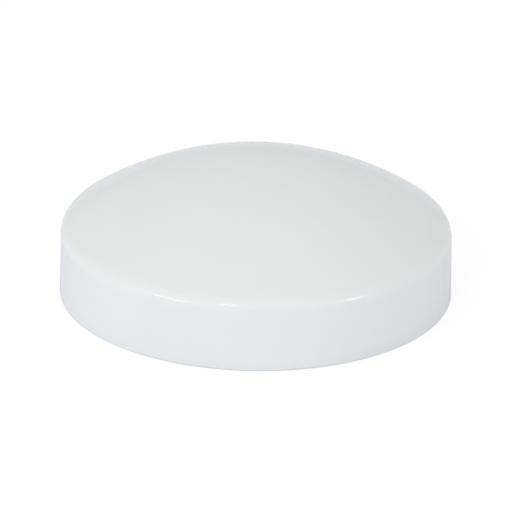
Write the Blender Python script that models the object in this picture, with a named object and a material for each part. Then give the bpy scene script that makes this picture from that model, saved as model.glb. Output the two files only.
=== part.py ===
"""Screw cover cap: a domed, one-piece plastic moulding that snaps over the base washer of a screw
and hides the screw's head.

The whole cap is one turned section: a low dome over a short skirt, a constant wall inside with the
stub of the gate in its middle, and a snap lip just above the rim. It stands on its rim, mouth down,
with the origin at the middle of the mouth and +Z up the axis to the crown. Lengths are in metres.
"""

import math

import bmesh
import bpy

MM = 0.001

# Outside
MOUTH_DIAMETER = 17.5 * MM  # across the rim
SKIRT_HEIGHT = 3.15 * MM  # from the rim to the line where skirt and dome would meet unrounded
CROWN_RISE = 2.9 * MM  # from that line up to the crown
SHOULDER_RADIUS = 0.7 * MM  # round between skirt and dome
RIM_RADIUS = 0.1 * MM  # round on the outer edge of the rim
DRAFT = math.radians(0.5)  # lean of the skirt, for the mould

# Walls
SKIRT_WALL = 1.0 * MM
CROWN_WALL = 1.0 * MM
INNER_CORNER_RADIUS = 0.5 * MM  # round inside, under the shoulder

# Stub of the trimmed gate, in the middle of the ceiling, where it doesn't show
GATE_DIAMETER = 1.0 * MM
GATE_HEIGHT = 0.12 * MM

# Snap lip: it springs over the base washer's edge and holds behind it
LIP_DEPTH = 0.3 * MM  # how far it stands in from the skirt's inner wall
LEAD_IN_HEIGHT = 0.5 * MM  # slope that guides the washer in, from the rim up
LIP_LAND = 0.15 * MM  # straight at the lip's tip
LIP_BACK_HEIGHT = 0.35 * MM  # slope behind the lip, gentle enough to pull off the mould's core
LIP_RADIUS = 0.15 * MM  # round on the lip's tip
MOUTH_EDGE_RADIUS = 0.08 * MM  # round between the rim's flat and the lead-in

# Fineness of the mesh
TURN_STEPS = 72
CHORD_ERROR = 0.004 * MM  # furthest that a facet lies from its arc in the section
WELD_DISTANCE = 0.001 * MM
SHARP_ANGLE = math.radians(30)

# Milky plastic, linear colour
CAP_COLOUR = (0.775, 0.815, 0.800, 1.0)
CAP_ROUGHNESS = 0.22


def arc(centre, radius, start, end):
    """Points of an arc in the section, both ends included, fine enough for CHORD_ERROR."""
    widest_step = 2 * math.acos(1 - CHORD_ERROR / radius)
    count = max(2, math.ceil(abs(end - start) / widest_step))
    angles = [start + (end - start) * i / count for i in range(count + 1)]
    return [(centre[0] + radius * math.cos(a), centre[1] + radius * math.sin(a)) for a in angles]


def rounded_corner(before, corner, after, radius):
    """Arc of that radius that rounds a corner of the section, touching the straights on both sides."""
    to_before = math.atan2(before[1] - corner[1], before[0] - corner[0])
    to_after = math.atan2(after[1] - corner[1], after[0] - corner[0])
    opening = (to_after - to_before + math.pi) % math.tau - math.pi
    half = abs(opening) / 2
    bisector = to_before + opening / 2
    centre_distance = radius / math.sin(half)
    centre = (
        corner[0] + centre_distance * math.cos(bisector),
        corner[1] + centre_distance * math.sin(bisector),
    )
    turn = math.copysign(math.pi / 2 - half, opening)
    outward = bisector + math.pi
    return arc(centre, radius, outward + turn, outward - turn)


def skirt_radius(height, inset):
    """Radius of the leaning skirt at a height, for a surface that lies this far in from the outside."""
    return MOUTH_DIAMETER / 2 - inset / math.cos(DRAFT) - height * math.tan(DRAFT)


def dome_sphere():
    """Radius of the dome's sphere, and the height of its centre, which lies on the axis."""
    shoulder = skirt_radius(SKIRT_HEIGHT, 0)
    radius = (shoulder**2 + CROWN_RISE**2) / (2 * CROWN_RISE)
    return radius, SKIRT_HEIGHT + CROWN_RISE - radius


def dome_contour(skirt_inset, crown_inset, corner_radius):
    """Section of a surface from the crown, out over the dome and round the shoulder to the skirt.

    The insets say how far the surface lies in from the outside of skirt and crown, so this draws
    the outside with none and the ceiling of the hollow with the wall thicknesses.
    """
    sphere_radius, sphere_height = dome_sphere()
    sphere_radius -= crown_inset
    # The round's centre lies one corner radius in from the skirt, and as far inside the sphere.
    foot = skirt_radius(0, skirt_inset + corner_radius)
    reach = sphere_radius - corner_radius
    # Along the skirt's lean, the centre is where its distance from the sphere's centre is reach.
    along_lean = foot * math.sin(DRAFT) + sphere_height * math.cos(DRAFT)
    across_lean = foot * math.cos(DRAFT) - sphere_height * math.sin(DRAFT)
    travel = along_lean + math.sqrt(reach**2 - across_lean**2)
    centre = (foot - travel * math.sin(DRAFT), travel * math.cos(DRAFT))
    shoulder_angle = math.atan2(centre[1] - sphere_height, centre[0])
    dome = arc((0.0, sphere_height), sphere_radius, math.pi / 2, shoulder_angle)
    dome[0] = (0.0, sphere_height + sphere_radius)
    return dome + arc(centre, corner_radius, shoulder_angle, DRAFT)[1:]


def ceiling_contour():
    """Section of the hollow from the gate's stub, out under the dome and round to the inner wall."""
    sphere_radius, sphere_height = dome_sphere()
    side = GATE_DIAMETER / 2
    stub_end = sphere_height + sphere_radius - CROWN_WALL - GATE_HEIGHT
    stub_root = sphere_height + math.sqrt((sphere_radius - CROWN_WALL) ** 2 - side**2)
    ceiling = dome_contour(SKIRT_WALL, CROWN_WALL, INNER_CORNER_RADIUS)
    beyond = [point for point in ceiling if point[0] > side]
    return [(0.0, stub_end), (side, stub_end), (side, stub_root), *beyond]


def rim_and_lip():
    """Section from the foot of the outer skirt, across the rim and over the snap lip to the inner wall."""
    tip_bottom = LEAD_IN_HEIGHT
    tip_top = tip_bottom + LIP_LAND
    lip_top = tip_top + LIP_BACK_HEIGHT
    tip_radius = skirt_radius(tip_bottom, SKIRT_WALL) - LIP_DEPTH
    outer_skirt = (skirt_radius(SKIRT_HEIGHT, 0), SKIRT_HEIGHT)
    outer_edge = (skirt_radius(0, 0), 0.0)
    mouth_edge = (skirt_radius(0, SKIRT_WALL), 0.0)
    lip_foot = (tip_radius, tip_bottom)
    lip_shoulder = (tip_radius, tip_top)
    inner_wall = (skirt_radius(lip_top, SKIRT_WALL), lip_top)
    return [
        *rounded_corner(outer_skirt, outer_edge, mouth_edge, RIM_RADIUS),
        *rounded_corner(outer_edge, mouth_edge, lip_foot, MOUTH_EDGE_RADIUS),
        *rounded_corner(mouth_edge, lip_foot, lip_shoulder, LIP_RADIUS),
        *rounded_corner(lip_foot, lip_shoulder, inner_wall, LIP_RADIUS),
        inner_wall,
    ]


def cap_section():
    """Half section of the cap as (radius, height) points, from the crown down and back up the hollow."""
    outside = dome_contour(0, 0, SHOULDER_RADIUS)
    return outside + rim_and_lip() + ceiling_contour()[::-1]


def turned(name, section):
    """Turns a section about Z into a closed solid, with the ends that meet the axis made one point."""
    shape = bmesh.new()
    points = [shape.verts.new((radius, 0.0, height)) for radius, height in section]
    edges = [shape.edges.new(pair) for pair in zip(points, points[1:])]
    bmesh.ops.spin(
        shape,
        geom=points + edges,
        cent=(0, 0, 0),
        axis=(0, 0, 1),
        angle=math.tau,
        steps=TURN_STEPS,
        use_merge=True,
    )
    bmesh.ops.remove_doubles(shape, verts=shape.verts, dist=WELD_DISTANCE)
    bmesh.ops.recalc_face_normals(shape, faces=shape.faces)
    mesh = bpy.data.meshes.new(name)
    shape.to_mesh(mesh)
    shape.free()
    mesh.shade_smooth()
    mesh.set_sharp_from_angle(angle=SHARP_ANGLE)
    solid = bpy.data.objects.new(name, mesh)
    bpy.context.scene.collection.objects.link(solid)
    return solid


def milky_plastic():
    """Smooth white plastic with a faint cool tint."""
    material = bpy.data.materials.new("milky_plastic")
    material.use_nodes = True
    shader = material.node_tree.nodes["Principled BSDF"]
    shader.inputs["Base Color"].default_value = CAP_COLOUR
    shader.inputs["Roughness"].default_value = CAP_ROUGHNESS
    shader.inputs["Metallic"].default_value = 0.0
    return material


def clear_scene():
    for thing in list(bpy.data.objects):
        bpy.data.objects.remove(thing)


def main():
    clear_scene()
    cap = turned("cap_shell", cap_section())
    cap.data.materials.append(milky_plastic())


main()
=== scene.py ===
"""Looks of the screw cover cap: its fine surface, its milky plastic, and a plain pale studio round it.

Lengths are in metres, with +Z up the cap's axis and the origin at the middle of its mouth.
"""

import math

import bmesh
import bpy
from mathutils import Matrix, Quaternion, Vector


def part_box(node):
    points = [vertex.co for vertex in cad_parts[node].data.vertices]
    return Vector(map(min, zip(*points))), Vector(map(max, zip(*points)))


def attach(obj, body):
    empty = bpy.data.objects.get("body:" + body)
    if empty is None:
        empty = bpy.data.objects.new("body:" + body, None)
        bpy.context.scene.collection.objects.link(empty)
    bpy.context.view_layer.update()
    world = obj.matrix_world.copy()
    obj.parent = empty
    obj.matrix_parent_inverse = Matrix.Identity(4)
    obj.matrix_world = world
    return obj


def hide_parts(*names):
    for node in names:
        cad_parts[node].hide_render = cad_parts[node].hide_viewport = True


MM = 0.001

# Section of the cap, as in the part's source. The width and the height come from the CAD node.
SKIRT_HEIGHT = 3.15 * MM  # from the rim to the line where skirt and dome would meet unrounded
SHOULDER_RADIUS = 0.7 * MM  # round between skirt and dome
RIM_RADIUS = 0.1 * MM  # round on the outer edge of the rim
DRAFT = math.radians(0.5)  # lean of the skirt, for the mould
SKIRT_WALL = 1.0 * MM
CROWN_WALL = 1.0 * MM
INNER_CORNER_RADIUS = 0.5 * MM  # round inside, under the shoulder
GATE_DIAMETER = 1.0 * MM  # stub of the trimmed gate, in the middle of the ceiling
GATE_HEIGHT = 0.12 * MM
LIP_DEPTH = 0.3 * MM  # how far the snap lip stands in from the skirt's inner wall
LEAD_IN_HEIGHT = 0.5 * MM  # slope from the rim up to the lip's tip
LIP_LAND = 0.15 * MM  # straight at the lip's tip
LIP_BACK_HEIGHT = 0.35 * MM  # slope behind the lip
LIP_RADIUS = 0.15 * MM  # round on the lip's tip
MOUTH_EDGE_RADIUS = 0.08 * MM  # round between the rim's flat and the lead-in

# Fineness of the visible surface
TURN_STEPS = 256
CHORD_ERROR = 0.0004 * MM  # furthest that a facet lies from its arc in the section
FEWEST_ARC_STEPS = 4
WELD_DISTANCE = 0.0005 * MM
SHARP_ANGLE = math.radians(35)

# Milky plastic, linear colours. A size is how large a pattern's features are, and a detail how many
# finer layers it has.
CLOUD_DARK = (0.767, 0.803, 0.796, 1.0)
CLOUD_LIGHT = (0.791, 0.827, 0.820, 1.0)
CLOUD_SIZE = 4 * MM
CLOUD_DETAIL = 3.0
ROUGHNESS_LOW = 0.08
ROUGHNESS_HIGH = 0.13
GLOSS_SIZE = 0.5 * MM
GLOSS_DETAIL = 4.0
WAVE_SIZE = 1.6 * MM
WAVE_HEIGHT = 0.003 * MM
WAVE_DETAIL = 1.0
GRAIN_SIZE = 0.12 * MM
GRAIN_HEIGHT = 0.0002 * MM
GRAIN_DETAIL = 2.0
REFRACTION = 1.3  # a little under the plastic's own, as the photograph's gloss is weak
SCATTER_WEIGHT = 1.0  # share of the light in the plastic that spreads before it comes out
SCATTER_DEPTH = 0.3 * MM
SCATTER_BY_COLOUR = (1.0, 1.0, 1.0)  # red, green and blue go equally deep

# Camera, as fitted to the outline in the photograph
FRAME_PIXELS = 512
LENS = 788.1  # focal length, in millimetres like the sensor's width
SENSOR_WIDTH = 36.0
LOOK_DOWN = math.radians(23.385)
ROLL = math.radians(0.827)
CAMERA_DISTANCE = 500 * MM
CAMERA_NEAR = 1 * MM
CAMERA_FAR = 10.0
AIM_PIXEL = (256.271, 229.658)  # where the middle of the cap's height shows on its axis

# Small lamps that make the streaks on the shoulder. Angles are in degrees: a bearing goes from the
# front (-Y) towards +X, a height goes up from the horizon, width and tallness are as seen from the
# cap, and a lamp rolls about its line to the cap. The power is in watts.
LAMP_DISTANCE = 1.2
LAMPS = {
    "left_streak": dict(bearing=-51.5, height=16.5, width=21, tallness=3, roll=-4, power=2.0),
    "front_streak": dict(bearing=-15.5, height=31, width=9, tallness=4, roll=8, power=0.95),
    "right_streak": dict(bearing=57.5, height=13, width=15, tallness=3, roll=-4, power=2.5),
}

# Light from the whole sky: the same level all round, and broad lobes that each add to it on one
# side. The higher a lobe's sharpness, the narrower it is, and its colour is the one at its middle.
SKY_COLOUR = (0.215, 0.22, 0.225)
SKY_LOBES = {
    "above": dict(bearing=0, height=90, sharpness=1, colour=(0.655, 0.65, 0.63)),
    "front": dict(bearing=0, height=0, sharpness=3, colour=(0.16, 0.16, 0.16)),
    "left_front": dict(bearing=-45, height=0, sharpness=3, colour=(0.865, 0.85, 0.82)),
    "back": dict(bearing=180, height=0, sharpness=3, colour=(0.465, 0.485, 0.49)),
}

# Floor
FLOOR_RADIUS = 1.5
FLOOR_SIDES = 96
FLOOR_HOLE_MARGIN = 0.05 * MM  # how far the floor reaches in under the rim's flat
FLOOR_COLOUR = (0.885, 0.875, 0.945, 1.0)
FLOOR_WHITE = 1.12  # a little over white, as it makes up for the shading that the floor keeps
FLOOR_WHITE_SHARES = {  # share of plain white for each kind of ray, the rest being the floor's shading
    "Is Camera Ray": 0.7,
    "Is Glossy Ray": 0.04,
    "Is Transmission Ray": 0.7,
}

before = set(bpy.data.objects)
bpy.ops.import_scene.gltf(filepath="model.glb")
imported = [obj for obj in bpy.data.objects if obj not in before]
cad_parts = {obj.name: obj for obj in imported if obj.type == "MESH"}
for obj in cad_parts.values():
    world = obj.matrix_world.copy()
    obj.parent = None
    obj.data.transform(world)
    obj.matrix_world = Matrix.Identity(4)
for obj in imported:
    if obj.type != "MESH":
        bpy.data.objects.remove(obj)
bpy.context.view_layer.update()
cap_low, cap_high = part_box("cap_shell")
MOUTH_RADIUS = cap_high.x
CAP_HEIGHT = cap_high.z
AIM_POINT = Vector((0, 0, CAP_HEIGHT / 2))


def arc(centre, radius, start, end):
    """Points of an arc in the section, both ends included, fine enough for CHORD_ERROR."""
    widest_step = 2 * math.acos(1 - CHORD_ERROR / radius)
    count = max(FEWEST_ARC_STEPS, math.ceil(abs(end - start) / widest_step))
    angles = [start + (end - start) * i / count for i in range(count + 1)]
    return [(centre[0] + radius * math.cos(a), centre[1] + radius * math.sin(a)) for a in angles]


def rounded_corner(before, corner, after, radius):
    """Arc of that radius that rounds a corner of the section, touching the straights on both sides."""
    to_before = math.atan2(before[1] - corner[1], before[0] - corner[0])
    to_after = math.atan2(after[1] - corner[1], after[0] - corner[0])
    opening = (to_after - to_before + math.pi) % math.tau - math.pi
    half = abs(opening) / 2
    bisector = to_before + opening / 2
    centre_distance = radius / math.sin(half)
    centre = (
        corner[0] + centre_distance * math.cos(bisector),
        corner[1] + centre_distance * math.sin(bisector),
    )
    turn = math.copysign(math.pi / 2 - half, opening)
    outward = bisector + math.pi
    return arc(centre, radius, outward + turn, outward - turn)


def skirt_radius(height, inset):
    """Radius of the leaning skirt at a height, for a surface that lies this far in from the outside."""
    return MOUTH_RADIUS - inset / math.cos(DRAFT) - height * math.tan(DRAFT)


def dome_sphere():
    """Radius of the dome's sphere, and the height of its centre, which lies on the axis."""
    shoulder = skirt_radius(SKIRT_HEIGHT, 0)
    rise = CAP_HEIGHT - SKIRT_HEIGHT
    radius = (shoulder**2 + rise**2) / (2 * rise)
    return radius, CAP_HEIGHT - radius


def dome_contour(skirt_inset, crown_inset, corner_radius):
    """Section of a surface from the crown, out over the dome and round the shoulder to the skirt.

    The insets say how far the surface lies in from the outside of skirt and crown, so this draws
    the outside with none and the ceiling of the hollow with the wall thicknesses.
    """
    sphere_radius, sphere_height = dome_sphere()
    sphere_radius -= crown_inset
    # The round's centre lies one corner radius in from the skirt, and as far inside the sphere.
    foot = skirt_radius(0, skirt_inset + corner_radius)
    reach = sphere_radius - corner_radius
    # Along the skirt's lean, the centre is where its distance from the sphere's centre is reach.
    along_lean = foot * math.sin(DRAFT) + sphere_height * math.cos(DRAFT)
    across_lean = foot * math.cos(DRAFT) - sphere_height * math.sin(DRAFT)
    travel = along_lean + math.sqrt(reach**2 - across_lean**2)
    centre = (foot - travel * math.sin(DRAFT), travel * math.cos(DRAFT))
    shoulder_angle = math.atan2(centre[1] - sphere_height, centre[0])
    dome = arc((0.0, sphere_height), sphere_radius, math.pi / 2, shoulder_angle)
    dome[0] = (0.0, sphere_height + sphere_radius)
    return dome + arc(centre, corner_radius, shoulder_angle, DRAFT)[1:]


def ceiling_contour():
    """Section of the hollow from the gate's stub, out under the dome and round to the inner wall."""
    sphere_radius, sphere_height = dome_sphere()
    side = GATE_DIAMETER / 2
    stub_end = sphere_height + sphere_radius - CROWN_WALL - GATE_HEIGHT
    stub_root = sphere_height + math.sqrt((sphere_radius - CROWN_WALL) ** 2 - side**2)
    ceiling = dome_contour(SKIRT_WALL, CROWN_WALL, INNER_CORNER_RADIUS)
    beyond = [point for point in ceiling if point[0] > side]
    return [(0.0, stub_end), (side, stub_end), (side, stub_root), *beyond]


def rim_and_lip():
    """Section from the foot of the outer skirt, across the rim and over the snap lip to the inner wall."""
    tip_bottom = LEAD_IN_HEIGHT
    tip_top = tip_bottom + LIP_LAND
    lip_top = tip_top + LIP_BACK_HEIGHT
    tip_radius = skirt_radius(tip_bottom, SKIRT_WALL) - LIP_DEPTH
    outer_skirt = (skirt_radius(SKIRT_HEIGHT, 0), SKIRT_HEIGHT)
    outer_edge = (skirt_radius(0, 0), 0.0)
    mouth_edge = (skirt_radius(0, SKIRT_WALL), 0.0)
    lip_foot = (tip_radius, tip_bottom)
    lip_shoulder = (tip_radius, tip_top)
    inner_wall = (skirt_radius(lip_top, SKIRT_WALL), lip_top)
    return [
        *rounded_corner(outer_skirt, outer_edge, mouth_edge, RIM_RADIUS),
        *rounded_corner(outer_edge, mouth_edge, lip_foot, MOUTH_EDGE_RADIUS),
        *rounded_corner(mouth_edge, lip_foot, lip_shoulder, LIP_RADIUS),
        *rounded_corner(lip_foot, lip_shoulder, inner_wall, LIP_RADIUS),
        inner_wall,
    ]


def added_object(name, data):
    """New object with this mesh, lamp or camera data, in the scene."""
    thing = bpy.data.objects.new(name, data)
    bpy.context.scene.collection.objects.link(thing)
    return thing


def mesh_from(shape, name):
    """Mesh with the faces of a bmesh, which is freed."""
    mesh = bpy.data.meshes.new(name)
    shape.to_mesh(mesh)
    shape.free()
    return mesh


def fine_cap():
    """The cap's one moulded shell, turned about Z from its section."""
    section = dome_contour(0, 0, SHOULDER_RADIUS) + rim_and_lip() + ceiling_contour()[::-1]
    shape = bmesh.new()
    points = [shape.verts.new((radius, 0.0, height)) for radius, height in section]
    edges = [shape.edges.new(pair) for pair in zip(points, points[1:])]
    bmesh.ops.spin(
        shape,
        geom=points + edges,
        cent=(0, 0, 0),
        axis=(0, 0, 1),
        angle=math.tau,
        steps=TURN_STEPS,
        use_merge=True,
    )
    bmesh.ops.remove_doubles(shape, verts=shape.verts, dist=WELD_DISTANCE)
    bmesh.ops.recalc_face_normals(shape, faces=shape.faces)
    mesh = mesh_from(shape, "cap_surface")
    mesh.shade_smooth()
    mesh.set_sharp_from_angle(angle=SHARP_ANGLE)
    return added_object("cap_surface", mesh)


def pattern(tree, place, size, detail):
    """Socket with a smooth random pattern from 0 to 1, whose features are about this size."""
    noise = tree.nodes.new("ShaderNodeTexNoise")
    noise.inputs["Scale"].default_value = 1 / size
    noise.inputs["Detail"].default_value = detail
    tree.links.new(place, noise.inputs["Vector"])
    return noise.outputs["Fac"]


def milky_plastic():
    """Glossy milky plastic: faint clouds in its colour, an uneven gloss, and a moulding's slight waves."""
    material = bpy.data.materials.new("milky_plastic_surface")
    material.use_nodes = True
    tree = material.node_tree
    shader = tree.nodes["Principled BSDF"]
    shader.inputs["IOR"].default_value = REFRACTION
    shader.inputs["Subsurface Weight"].default_value = SCATTER_WEIGHT
    shader.inputs["Subsurface Radius"].default_value = SCATTER_BY_COLOUR
    shader.inputs["Subsurface Scale"].default_value = SCATTER_DEPTH
    place = tree.nodes.new("ShaderNodeTexCoord").outputs["Object"]

    clouds = tree.nodes.new("ShaderNodeMix")
    clouds.data_type = "RGBA"
    clouds.inputs["A"].default_value = CLOUD_DARK
    clouds.inputs["B"].default_value = CLOUD_LIGHT
    tree.links.new(pattern(tree, place, CLOUD_SIZE, CLOUD_DETAIL), clouds.inputs["Factor"])
    tree.links.new(clouds.outputs["Result"], shader.inputs["Base Color"])

    gloss = tree.nodes.new("ShaderNodeMapRange")
    gloss.inputs["To Min"].default_value = ROUGHNESS_LOW
    gloss.inputs["To Max"].default_value = ROUGHNESS_HIGH
    tree.links.new(pattern(tree, place, GLOSS_SIZE, GLOSS_DETAIL), gloss.inputs["Value"])
    tree.links.new(gloss.outputs["Result"], shader.inputs["Roughness"])

    waves = tree.nodes.new("ShaderNodeBump")
    waves.inputs["Distance"].default_value = WAVE_HEIGHT
    tree.links.new(pattern(tree, place, WAVE_SIZE, WAVE_DETAIL), waves.inputs["Height"])
    grain = tree.nodes.new("ShaderNodeBump")
    grain.inputs["Distance"].default_value = GRAIN_HEIGHT
    tree.links.new(pattern(tree, place, GRAIN_SIZE, GRAIN_DETAIL), grain.inputs["Height"])
    tree.links.new(waves.outputs["Normal"], grain.inputs["Normal"])
    tree.links.new(grain.outputs["Normal"], shader.inputs["Normal"])
    return material


def plain_white_share(tree):
    """Socket with the share of plain white in what a ray sees of the floor, by the ray's kind."""
    path = tree.nodes.new("ShaderNodeLightPath")
    total = None
    for kind, share in FLOOR_WHITE_SHARES.items():
        adding = tree.nodes.new("ShaderNodeMath")
        adding.operation = "MULTIPLY_ADD"
        is_kind, weight, total_before = adding.inputs
        tree.links.new(path.outputs[kind], is_kind)
        weight.default_value = share
        total_before.default_value = 0.0
        if total:
            tree.links.new(total, total_before)
        total = adding.outputs["Value"]
    return total


def mixed(tree, factor, first, second):
    """Shader that is the first where the factor is 0 and the second where it is 1."""
    mix = tree.nodes.new("ShaderNodeMixShader")
    for socket, source in zip(mix.inputs, (factor, first, second)):
        tree.links.new(source, socket)
    return mix.outputs["Shader"]


def floor_white():
    """White that shows part of the floor's shading, and is clear from below."""
    material = bpy.data.materials.new("floor_white")
    material.use_nodes = True
    tree = material.node_tree
    tree.nodes.clear()
    output = tree.nodes.new("ShaderNodeOutputMaterial")
    shaded = tree.nodes.new("ShaderNodeBsdfDiffuse")
    shaded.inputs["Color"].default_value = FLOOR_COLOUR
    white = tree.nodes.new("ShaderNodeEmission")
    white.inputs["Strength"].default_value = FLOOR_WHITE
    top = mixed(tree, plain_white_share(tree), shaded.outputs["BSDF"], white.outputs["Emission"])
    clear = tree.nodes.new("ShaderNodeBsdfTransparent")
    side = tree.nodes.new("ShaderNodeNewGeometry")
    surface = mixed(tree, side.outputs["Backfacing"], top, clear.outputs["BSDF"])
    tree.links.new(surface, output.inputs["Surface"])
    return material


def make_floor():
    """Level floor with a hole that the cap hides, so that a view from below shows a lit hollow."""
    hole_radius = MOUTH_RADIUS - RIM_RADIUS - FLOOR_HOLE_MARGIN
    shape = bmesh.new()
    for radius in (FLOOR_RADIUS, hole_radius):
        bmesh.ops.create_circle(shape, segments=FLOOR_SIDES, radius=radius)
    bmesh.ops.bridge_loops(shape, edges=shape.edges)
    bmesh.ops.recalc_face_normals(shape, faces=shape.faces)
    shape.faces.ensure_lookup_table()
    if shape.faces[0].normal.z < 0:
        bmesh.ops.reverse_faces(shape, faces=shape.faces)
    floor = added_object("floor", mesh_from(shape, "floor"))
    floor.data.materials.append(floor_white())


def direction_to(bearing, height):
    """Direction from the cap that has this bearing and height, both in degrees."""
    bearing = math.radians(bearing)
    height = math.radians(height)
    level = math.cos(height)
    return Vector((math.sin(bearing) * level, -math.cos(bearing) * level, math.sin(height)))


def with_lobe(tree, place, light, bearing, height, sharpness, colour):
    """Socket with the sky's light and one more lobe, brightest in this bearing and height."""
    facing = tree.nodes.new("ShaderNodeVectorMath")
    facing.operation = "DOT_PRODUCT"
    facing.inputs[1].default_value = direction_to(bearing, height)
    tree.links.new(place, facing.inputs[0])
    own_half = tree.nodes.new("ShaderNodeMath")
    own_half.operation = "MAXIMUM"
    own_half.inputs[1].default_value = 0.0
    tree.links.new(facing.outputs["Value"], own_half.inputs[0])
    strength = tree.nodes.new("ShaderNodeMath")
    strength.operation = "POWER"
    strength.inputs[1].default_value = sharpness
    tree.links.new(own_half.outputs["Value"], strength.inputs[0])
    brighter = tree.nodes.new("ShaderNodeVectorMath")
    brighter.operation = "MULTIPLY_ADD"
    brighter.inputs[1].default_value = colour
    tree.links.new(strength.outputs["Value"], brighter.inputs[0])
    tree.links.new(light, brighter.inputs[2])
    return brighter.outputs["Vector"]


def make_world():
    """Sky with an even level, brightened by its lobes."""
    world = bpy.data.worlds.new("studio")
    bpy.context.scene.world = world
    world.use_nodes = True
    tree = world.node_tree
    place = tree.nodes.new("ShaderNodeTexCoord").outputs["Generated"]
    level = tree.nodes.new("ShaderNodeCombineXYZ")
    for socket, value in zip(level.inputs, SKY_COLOUR):
        socket.default_value = value
    light = level.outputs["Vector"]
    for lobe in SKY_LOBES.values():
        light = with_lobe(tree, place, light, **lobe)
    tree.links.new(light, tree.nodes["Background"].inputs["Color"])


def make_lamp(name, bearing, height, width, tallness, roll, power):
    """Rectangular lamp that faces the cap from LAMP_DISTANCE."""
    data = bpy.data.lights.new(name, "AREA")
    data.shape = "RECTANGLE"
    data.size = 2 * LAMP_DISTANCE * math.tan(math.radians(width) / 2)
    data.size_y = 2 * LAMP_DISTANCE * math.tan(math.radians(tallness) / 2)
    data.energy = power
    lamp = added_object(name, data)
    out = direction_to(bearing, height)
    upright = (-out).to_track_quat("-Z", "Y")
    lamp.location = AIM_POINT + out * LAMP_DISTANCE
    lamp.rotation_mode = "QUATERNION"
    lamp.rotation_quaternion = upright @ Quaternion((0, 0, 1), math.radians(roll))


def make_camera():
    """Camera that shows the cap where the photograph shows it."""
    data = bpy.data.cameras.new("camera")
    data.lens = LENS
    data.sensor_width = SENSOR_WIDTH
    data.clip_start = CAMERA_NEAR
    data.clip_end = CAMERA_FAR
    camera = added_object("camera", data)
    back = Vector((0, -math.cos(LOOK_DOWN), math.sin(LOOK_DOWN)))
    focal_pixels = LENS / SENSOR_WIDTH * FRAME_PIXELS
    tilt = math.atan((FRAME_PIXELS / 2 - AIM_PIXEL[1]) / focal_pixels)
    swing = math.atan((AIM_PIXEL[0] - FRAME_PIXELS / 2) / focal_pixels)
    camera.location = AIM_POINT + back * CAMERA_DISTANCE
    camera.rotation_mode = "QUATERNION"
    camera.rotation_quaternion = (
        (-back).to_track_quat("-Z", "Y")
        @ Quaternion((0, 0, 1), ROLL)
        @ Quaternion((1, 0, 0), -tilt)
        @ Quaternion((0, 1, 0), swing)
    )
    bpy.context.scene.camera = camera


cap = fine_cap()
cap.data.materials.append(milky_plastic())
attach(cap, "root")
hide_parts("cap_shell")
make_floor()
make_world()
for name, lamp in LAMPS.items():
    make_lamp(name, **lamp)
make_camera()
bpy.context.scene.view_settings.view_transform = "Standard"
